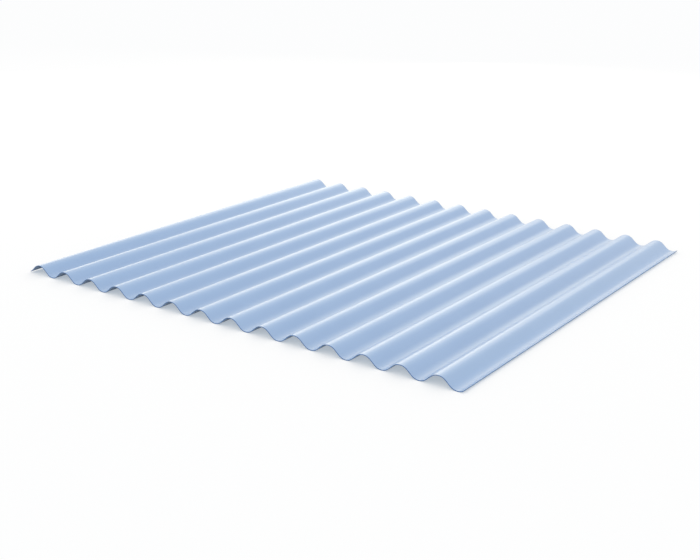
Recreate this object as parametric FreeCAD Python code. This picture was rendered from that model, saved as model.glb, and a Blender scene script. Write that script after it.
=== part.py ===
import FreeCAD, Part
import math
import os

# A corrugated PVC roofing sheet, one extruded piece, lying flat on its troughs.
# Millimetres. X runs across the waves, Y along them and Z is up. The origin is at
# the middle of the sheet, at the height of the floor that the troughs rest on.

# Driving dimensions
pitch = 76.0            # crest to crest
waves = 14              # crests across the sheet
wave_depth = 19.0       # trough to crest, on the middle of the wall
thickness = 1.5         # wall
flank_straight = 12.0   # flat stretch of each flank, between the two bends
left_slit = 8.0         # the left side is slit this far after the bottom of its trough
right_lip = 12.0        # the right side runs this far past the bottom of its trough
sheet_length = 1000.0   # along the waves

# A bend is an arc that turns from level to the slope of the flank. Half the flat
# stretch and the arc have to climb half the depth in a quarter of the pitch, which
# fixes both the slope and the radius.
half_flank = flank_straight / 2
half_depth = wave_depth / 2
quarter_pitch = pitch / 4
slope = 2 * math.atan(half_depth / (quarter_pitch + half_flank))
bend_radius = (quarter_pitch - half_flank * math.cos(slope)) / math.sin(slope)

half_wall = thickness / 2
half_width = (waves * pitch - left_slit + right_lip) / 2
half_length = sheet_length / 2
middle_height = half_depth + half_wall      # of the wall's middle, between crest and trough


def bend_point(bend, turn, offset):
    """Point of a bend's arc at an angle from level, offset upwards from the wall's middle.

    Bend 0 is the trough beside the left side, and the odd bends are crests.
    """
    crest = bend % 2 == 1
    side = 1 if crest else -1
    radius = bend_radius + side * offset
    centre_x = bend * pitch / 2 - half_width - left_slit
    centre_z = middle_height + side * (half_depth - bend_radius)
    return FreeCAD.Vector(
        centre_x + radius * math.sin(turn), -half_length, centre_z + side * radius * math.cos(turn)
    )


def surface_line(offset):
    """Edges of one face of the wall, one bend longer than the sheet at each side, and its ends."""
    edges = []
    for bend in range(-1, 2 * waves + 2):
        start = bend_point(bend, -slope, offset)
        middle = bend_point(bend, 0, offset)
        end = bend_point(bend, slope, offset)
        if edges:
            edges.append(Part.LineSegment(line_end, start).toShape())
        else:
            line_start = start
        edges.append(Part.Arc(start, middle, end).toShape())
        line_end = end
    return edges, line_start, line_end


def between_slits():
    """Upright face that covers the section from one side slit to the other."""
    low, high = -thickness, wave_depth + 2 * thickness
    corners = [(-half_width, low), (half_width, low), (half_width, high), (-half_width, high)]
    points = [FreeCAD.Vector(x, -half_length, z) for x, z in corners]
    return Part.Face(Part.makePolygon(points + points[:1]))


def corrugated_sheet():
    upper, upper_left, upper_right = surface_line(half_wall)
    lower, lower_left, lower_right = surface_line(-half_wall)
    ends = [
        Part.LineSegment(upper_left, lower_left).toShape(),
        Part.LineSegment(upper_right, lower_right).toShape(),
    ]
    outline = Part.Wire(Part.__sortEdges__(upper + lower + ends))
    section = Part.Face(outline).common(between_slits())
    return section.Faces[0].extrude(FreeCAD.Vector(0, sheet_length, 0))


sheet = corrugated_sheet()
os.makedirs("parts", exist_ok=True)
sheet.exportStep("parts/corrugated_sheet.step")

box = sheet.BoundBox
print("bend radius %.2f mm, flank slope %.1f degrees" % (bend_radius, math.degrees(slope)))
print("sheet %.2f x %.2f x %.2f mm" % (box.XLength, box.YLength, box.ZLength))
print("volume %.0f mm3, solids %d, valid %s" % (sheet.Volume, len(sheet.Solids), sheet.isValid()))
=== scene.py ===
import math

import bpy
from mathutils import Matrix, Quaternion, Vector


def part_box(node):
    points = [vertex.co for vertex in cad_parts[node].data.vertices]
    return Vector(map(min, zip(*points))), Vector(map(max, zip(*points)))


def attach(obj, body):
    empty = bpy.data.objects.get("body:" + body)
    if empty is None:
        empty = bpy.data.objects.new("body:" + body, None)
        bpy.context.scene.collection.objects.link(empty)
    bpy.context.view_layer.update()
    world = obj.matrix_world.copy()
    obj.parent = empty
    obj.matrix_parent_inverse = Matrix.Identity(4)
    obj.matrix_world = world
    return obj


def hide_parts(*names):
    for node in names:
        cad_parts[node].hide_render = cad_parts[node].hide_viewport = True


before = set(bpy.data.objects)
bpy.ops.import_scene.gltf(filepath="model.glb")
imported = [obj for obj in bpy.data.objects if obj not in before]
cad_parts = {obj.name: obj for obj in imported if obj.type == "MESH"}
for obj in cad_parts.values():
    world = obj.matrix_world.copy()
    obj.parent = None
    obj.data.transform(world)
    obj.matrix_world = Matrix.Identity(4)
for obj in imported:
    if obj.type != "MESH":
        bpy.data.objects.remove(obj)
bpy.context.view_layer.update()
lowCorner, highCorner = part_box("corrugated_sheet")
print("frame loaded:", sorted(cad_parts))


# An output socket that works in sums: an expression on it adds the Math nodes.
class Wire:
    def __init__(self, graph, socket):
        self.graph = graph
        self.socket = socket

    def __add__(self, other):
        return self.graph.maths("ADD", self, other)

    __radd__ = __add__

    def __sub__(self, other):
        return self.graph.maths("SUBTRACT", self, other)

    def __rsub__(self, other):
        return self.graph.maths("SUBTRACT", other, self)

    def __mul__(self, other):
        return self.graph.maths("MULTIPLY", self, other)

    __rmul__ = __mul__

    def __truediv__(self, other):
        return self.graph.maths("DIVIDE", self, other)

    def __abs__(self):
        return self.graph.maths("ABSOLUTE", self)

    def __gt__(self, other):
        return self.graph.maths("GREATER_THAN", self, other)

    def apply(self, operation):             # for a function of one value, such as COSINE
        return self.graph.maths(operation, self)

    def smoothStep(self, low, high):        # 0 below low, 1 above high
        settings = {"interpolation_type": "SMOOTHSTEP"}
        return self.graph.node("ShaderNodeMapRange", settings, {0: self, 1: low, 2: high})


# A node tree, and the one way that a node is added to it.
class Graph:
    def __init__(self, tree):
        self.tree = tree

    def node(self, kind, settings, sockets, output=0):
        made = self.tree.nodes.new(kind)
        for name, value in settings.items():
            setattr(made, name, value)
        for name, value in sockets.items():
            if isinstance(value, Wire):
                self.tree.links.new(value.socket, made.inputs[name])
            else:
                made.inputs[name].default_value = value
        return Wire(self, made.outputs[output])

    def maths(self, operation, first, second=0.0):
        return self.node("ShaderNodeMath", {"operation": operation}, {0: first, 1: second})

    def vector(self, x, y, z):
        return self.node("ShaderNodeCombineXYZ", {}, {"X": x, "Y": y, "Z": z})

    def axes(self, vector):                         # its x, y and z
        split = self.node("ShaderNodeSeparateXYZ", {}, {0: vector})
        return [Wire(self, axis) for axis in split.socket.node.outputs]

    def noise(self, where, detail, scale=1.0):      # runs from 0 to 1, about a half
        sockets = {"Vector": where, "Scale": scale, "Detail": detail}
        return self.node("ShaderNodeTexNoise", {}, sockets, "Fac")

    def blend(self, factor, first, second):         # of two colours
        sockets = {0: factor, 6: first, 7: second}
        return self.node("ShaderNodeMix", {"data_type": "RGBA"}, sockets, 2)


pvcFinish = {
    "colour": (0.284, 0.441, 0.688, 1.0),
    "cloudColour": (0.297, 0.454, 0.700, 1.0),    # of slightly paler clouds in the plastic
    "cloudsPerMetre": 9.0,
    "cloudDetail": 3.0,
    "cloudEdge": (0.35, 0.7),     # the noise turns from plain plastic to cloud between these
    "roughness": 0.34,
    "roughnessSwing": 0.03,       # how much the clouds and the die lines each change it
    "skinRoughness": 0.34,        # of the weather coat, which only the top face has
    "bareRoughness": 0.12,        # added where there is no coat
    "reflection": 1.54,           # refractive index of the skin and of what lies under it
    "dieLinesPerMetre": 420.0,    # faint ribs along the sheet, from the extrusion die
    "dieLineLength": 0.9,         # metres over which a rib changes
    "dieLineHeight": 0.000004,
    "dieLineDetail": 2.0,
    "ripplesPerMetre": 14.0,      # soft unevenness of the pulled sheet
    "rippleHeight": 0.00002,
    "rippleDetail": 1.0,
    "cutShadeColour": (0.085, 0.190, 0.43, 1.0),       # darker and bluer than the plastic: painted shade on the sawn ends and slit sides, which face away from the light
    "sawScratchShadeColour": (0.14, 0.27, 0.53, 1.0),        # of the lighter scratches from the saw, darkened by the same painted shade
    "cutDepth": 0.0009,           # how far in from an edge the cut faces' painted shade, saw marks and missing coat reach
    "cutFade": 0.5,               # share of that depth over which it fades out
    "sawMarksPerMetre": 1600.0,
    "sawMarkStretch": 0.15,       # share of that number upwards, so that they are long that way
    "sawMarkHeight": 0.00003,
    "sawMarkDetail": 2.0,
    "sawMarkEdge": (0.45, 0.75),  # the noise turns from cut plastic to scratch between these
}


def makePvc(low, high):
    material = bpy.data.materials.new("pale_blue_pvc")
    material.use_nodes = True
    graph = Graph(material.node_tree)
    shader = material.node_tree.nodes["Principled BSDF"]
    place = graph.node("ShaderNodeTexCoord", {}, {}, "Object")
    x, y, z = graph.axes(place)
    facing = graph.axes(graph.node("ShaderNodeTexCoord", {}, {}, "Normal"))
    top = facing[2] > 0.0               # the face that looks upwards

    fromEnd = (high.y - low.y) / 2 - abs(y)
    fromSide = (high.x - low.x) / 2 - abs(x)
    nearest = graph.maths("MINIMUM", fromEnd, fromSide)
    depth = pvcFinish["cutDepth"]
    cut = 1 - nearest.smoothStep(depth * (1 - pvcFinish["cutFade"]), depth)

    # Ribs run along the sheet and follow the waves up and down.
    ribs = pvcFinish["dieLinesPerMetre"]
    along = y / pvcFinish["dieLineLength"]
    dieLines = graph.noise(graph.vector(x * ribs, along, z * ribs), pvcFinish["dieLineDetail"])
    ripples = graph.noise(place, pvcFinish["rippleDetail"], pvcFinish["ripplesPerMetre"])
    clouds = graph.noise(place, pvcFinish["cloudDetail"], pvcFinish["cloudsPerMetre"])
    marks = pvcFinish["sawMarksPerMetre"]
    up = z * marks * pvcFinish["sawMarkStretch"]
    sawMarks = graph.noise(graph.vector(x * marks, y * marks, up), pvcFinish["sawMarkDetail"])

    cloudy = clouds.smoothStep(*pvcFinish["cloudEdge"])
    plain = graph.blend(cloudy, pvcFinish["colour"], pvcFinish["cloudColour"])
    scratched = sawMarks.smoothStep(*pvcFinish["sawMarkEdge"])
    # The cut faces get painted shade: a darker blue with lighter saw scratches in it.
    shadedCut = graph.blend(scratched, pvcFinish["cutShadeColour"], pvcFinish["sawScratchShadeColour"])
    colour = graph.blend(cut, plain, shadedCut)
    swing = pvcFinish["roughnessSwing"]
    rough = pvcFinish["roughness"] + (clouds - 0.5) * swing + (dieLines - 0.5) * swing
    coat = top * (1 - cut)
    rough = rough + (1 - coat) * pvcFinish["bareRoughness"]
    skin = dieLines * pvcFinish["dieLineHeight"] + ripples * pvcFinish["rippleHeight"]
    height = skin * (1 - cut) + sawMarks * pvcFinish["sawMarkHeight"] * cut
    bump = graph.node("ShaderNodeBump", {}, {
        "Height": height, "Distance": 1.0, "Strength": 1.0,
    })

    shader.inputs["IOR"].default_value = pvcFinish["reflection"]
    shader.inputs["Coat IOR"].default_value = pvcFinish["reflection"]
    shader.inputs["Coat Roughness"].default_value = pvcFinish["skinRoughness"]
    feeds = {"Base Color": colour, "Roughness": rough, "Coat Weight": coat, "Normal": bump}
    for name, wire in feeds.items():
        material.node_tree.links.new(wire.socket, shader.inputs[name])
    return material


sheetShape = {
    "Waves": 14,
    "Wall": 0.0015,
    "Flank Straight": 0.012,    # flat stretch of a flank between two bends
    "Left Slit": 0.008,         # the left side is slit this far after the bottom of its trough
    "Right Lip": 0.012,         # the right side runs this far past the bottom of its trough
    "Steps Per Wave": 48,
    "Length Steps": 24,
}
cutEdges = {
    "rounding": 0.00015,        # radius
    "roundingSteps": 2,
    "sharpFrom": 50,            # degrees between two faces, from which their edge is rounded
}


def makeSheetTree(material):
    tree = bpy.data.node_groups.new("corrugatedSheet", "GeometryNodeTree")
    kinds = {
        "Width": "Float", "Length": "Float", "Height": "Float", "Waves": "Int", "Wall": "Float",
        "Flank Straight": "Float", "Left Slit": "Float", "Right Lip": "Float",
        "Steps Per Wave": "Int", "Length Steps": "Int",
    }
    for name, kind in kinds.items():
        tree.interface.new_socket(name, in_out="INPUT", socket_type="NodeSocket" + kind)
    tree.interface.new_socket("Geometry", in_out="OUTPUT", socket_type="NodeSocketGeometry")
    graph = Graph(tree)
    entry = tree.nodes.new("NodeGroupInput")
    size = {name: Wire(graph, entry.outputs[name]) for name in kinds}

    # A flat plate with its two faces divided alike, so that both can be bent into the waves.
    plate = graph.node("GeometryNodeMeshCube", {}, {
        "Size": graph.vector(size["Width"], size["Length"], size["Wall"]),
        "Vertices X": size["Waves"] * size["Steps Per Wave"] + 1,
        "Vertices Y": size["Length Steps"] + 1,
        "Vertices Z": 2,
    })
    place = graph.node("GeometryNodeInputPosition", {}, {})
    x, y, offset = graph.axes(place)        # offset is a face's height over the wall's middle

    # Half the flat stretch and the bend climb half the depth in a quarter of the pitch.
    quarter = (size["Width"] + size["Left Slit"] - size["Right Lip"]) / size["Waves"] / 4
    halfDepth = (size["Height"] - size["Wall"]) / 2
    halfFlank = size["Flank Straight"] / 2
    slope = (halfDepth / (quarter + halfFlank)).apply("ARCTANGENT") * 2
    radius = (quarter - halfFlank * slope.apply("COSINE")) / slope.apply("SINE")

    # The height there is on an arc about the nearest crest or trough, or on the flank
    # between them.
    along = x + size["Width"] * 0.5 + size["Left Slit"]
    fromTrough = graph.maths("PINGPONG", along, quarter * 2)
    fromMiddle = fromTrough - quarter
    side = (fromMiddle > 0.0) * 2 - 1
    fromBend = quarter - abs(fromMiddle)
    bendRadius = radius + side * offset
    rise = (bendRadius * bendRadius - fromBend * fromBend).apply("SQRT")
    arc = side * (halfDepth - radius + rise)
    flank = fromMiddle * slope.apply("TANGENT") + offset / slope.apply("COSINE")
    onArc = bendRadius * slope.apply("SINE") > fromBend
    height = size["Height"] / 2 + flank + (arc - flank) * onArc
    body = graph.node("GeometryNodeSetPosition", {}, {
        "Geometry": plate, "Position": graph.vector(x, y, height),
    })
    body = graph.node("GeometryNodeSetShadeSmooth", {}, {"Geometry": body})
    body = graph.node("GeometryNodeRealizeInstances", {}, {"Geometry": body})
    body = graph.node("GeometryNodeSetMaterial", {}, {"Geometry": body, "Material": material})
    leave = tree.nodes.new("NodeGroupOutput")
    tree.links.new(body.socket, leave.inputs[0])
    return tree


def makeSheet(low, high):
    material = makePvc(low, high)
    tree = makeSheetTree(material)
    seed = bpy.data.objects.new("sheet_maker", bpy.data.meshes.new("sheet_maker"))
    bpy.context.scene.collection.objects.link(seed)
    modifier = seed.modifiers.new("corrugate", "NODES")
    modifier.node_group = tree
    size = high - low
    values = dict(sheetShape, Width=size.x, Length=size.y, Height=size.z)
    for item in tree.interface.items_tree:
        if item.in_out == "INPUT":
            modifier[item.identifier] = values[item.name]
    evaluated = seed.evaluated_get(bpy.context.evaluated_depsgraph_get())
    mesh = bpy.data.meshes.new_from_object(evaluated)
    bpy.data.objects.remove(seed)

    piece = bpy.data.objects.new("pvc_sheet", mesh)
    bpy.context.scene.collection.objects.link(piece)
    bevel = piece.modifiers.new("edge_break", "BEVEL")
    bevel.width = cutEdges["rounding"]
    bevel.segments = cutEdges["roundingSteps"]
    bevel.limit_method = "ANGLE"
    bevel.angle_limit = math.radians(cutEdges["sharpFrom"])
    bevel.harden_normals = True
    return piece


sheet = makeSheet(lowCorner, highCorner)
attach(sheet, "root")
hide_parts("corrugated_sheet")
print("sheet made:", len(sheet.data.polygons), "faces")


cameraView = {
    "azimuth": 34.68, "elevation": 18.45, "roll": 0.83,      # degrees
    "distance": 2.4850,
    "focalLength": 59.87, "sensorWidth": 36,                 # millimetres
    "target": Vector((0.0435, -0.1267, 0)),
}


def direction(azimuth, elevation):          # azimuth 0 is towards -Y and 90 towards +X
    a, e = math.radians(azimuth), math.radians(elevation)
    return Vector((math.sin(a) * math.cos(e), -math.cos(a) * math.cos(e), math.sin(e)))


def addCamera():
    data = bpy.data.cameras.new("camera")
    data.lens = cameraView["focalLength"]
    data.sensor_width = cameraView["sensorWidth"]
    camera = bpy.data.objects.new("camera", data)
    toEye = direction(cameraView["azimuth"], cameraView["elevation"])
    camera.location = cameraView["target"] + toEye * cameraView["distance"]
    roll = Quaternion((0, 0, 1), math.radians(cameraView["roll"]))
    camera.rotation_mode = "QUATERNION"
    camera.rotation_quaternion = (-toEye).to_track_quat("-Z", "Y") @ roll
    bpy.context.scene.collection.objects.link(camera)
    bpy.context.scene.camera = camera


softboxes = {
    "key": {"azimuth": 203, "elevation": 27, "distance": 3.0, "size": (2.2, 1.0), "level": 0.9},
    "glow": {"azimuth": 228, "elevation": 10, "distance": 3.0, "size": (2.6, 1.0), "level": 0.92},
}
studio = {
    "skyColour": (1.0, 1.0, 1.0, 1.0),
    "skyLevel": 1.0,                              # of the light that the surroundings give
    "lampColour": (1.0, 0.93, 0.72),
    "floorSize": 30,
    # warmer than white, so that with the bluer glow below the lit floor sums to white
    "floorColour": (0.600, 0.555, 0.510, 1.0),
    "floorGlow": (0.378, 0.427, 0.476, 1.0),      # added where the floor is seen, to keep it white; bluer than the floor colour, so the floor's shadows take a painted blue tint standing in for light from the sheet
    "noGlow": (0.0, 0.0, 0.0, 1.0),
    "glowInGloss": 0.75,                          # share of that glow which reflections show
}


def addSoftbox(name, azimuth, elevation, distance, size, level):
    data = bpy.data.lights.new(name, "AREA")
    data.shape = "RECTANGLE"
    data.size, data.size_y = size
    data.color = studio["lampColour"]
    data.energy = level * math.pi * size[0] * size[1]       # level is the lamp's own brightness
    lamp = bpy.data.objects.new(name, data)
    out = direction(azimuth, elevation)
    lamp.location = out * distance
    lamp.rotation_mode = "QUATERNION"
    lamp.rotation_quaternion = (-out).to_track_quat("-Z", "Y")
    bpy.context.scene.collection.objects.link(lamp)


def addWorld():
    world = bpy.data.worlds.new("studio")
    world.use_nodes = True
    background = world.node_tree.nodes["Background"]
    background.inputs["Color"].default_value = studio["skyColour"]
    background.inputs["Strength"].default_value = studio["skyLevel"]
    bpy.context.scene.world = world


def addFloor():
    half = studio["floorSize"] / 2
    mesh = bpy.data.meshes.new("floor")
    corners = [(-half, -half, 0), (half, -half, 0), (half, half, 0), (-half, half, 0)]
    mesh.from_pydata(corners, [], [(0, 1, 2, 3)])
    floor = bpy.data.objects.new("floor", mesh)
    bpy.context.scene.collection.objects.link(floor)
    material = bpy.data.materials.new("white_floor")
    material.use_nodes = True
    shader = material.node_tree.nodes["Principled BSDF"]
    shader.inputs["Base Color"].default_value = studio["floorColour"]
    shader.inputs["Roughness"].default_value = 1.0
    shader.inputs["Specular IOR Level"].default_value = 0.0
    shader.inputs["Emission Strength"].default_value = 1.0
    graph = Graph(material.node_tree)
    seen = graph.node("ShaderNodeLightPath", {}, {}, "Is Camera Ray")
    mirrored = graph.node("ShaderNodeLightPath", {}, {}, "Is Glossy Ray")
    share = seen + mirrored * studio["glowInGloss"]
    glow = graph.blend(share, studio["noGlow"], studio["floorGlow"])
    material.node_tree.links.new(glow.socket, shader.inputs["Emission Color"])
    mesh.materials.append(material)


addCamera()
addFloor()
addWorld()
for name, box in softboxes.items():
    addSoftbox(name, **box)
bpy.context.scene.view_settings.view_transform = "Standard"
print("stage set")
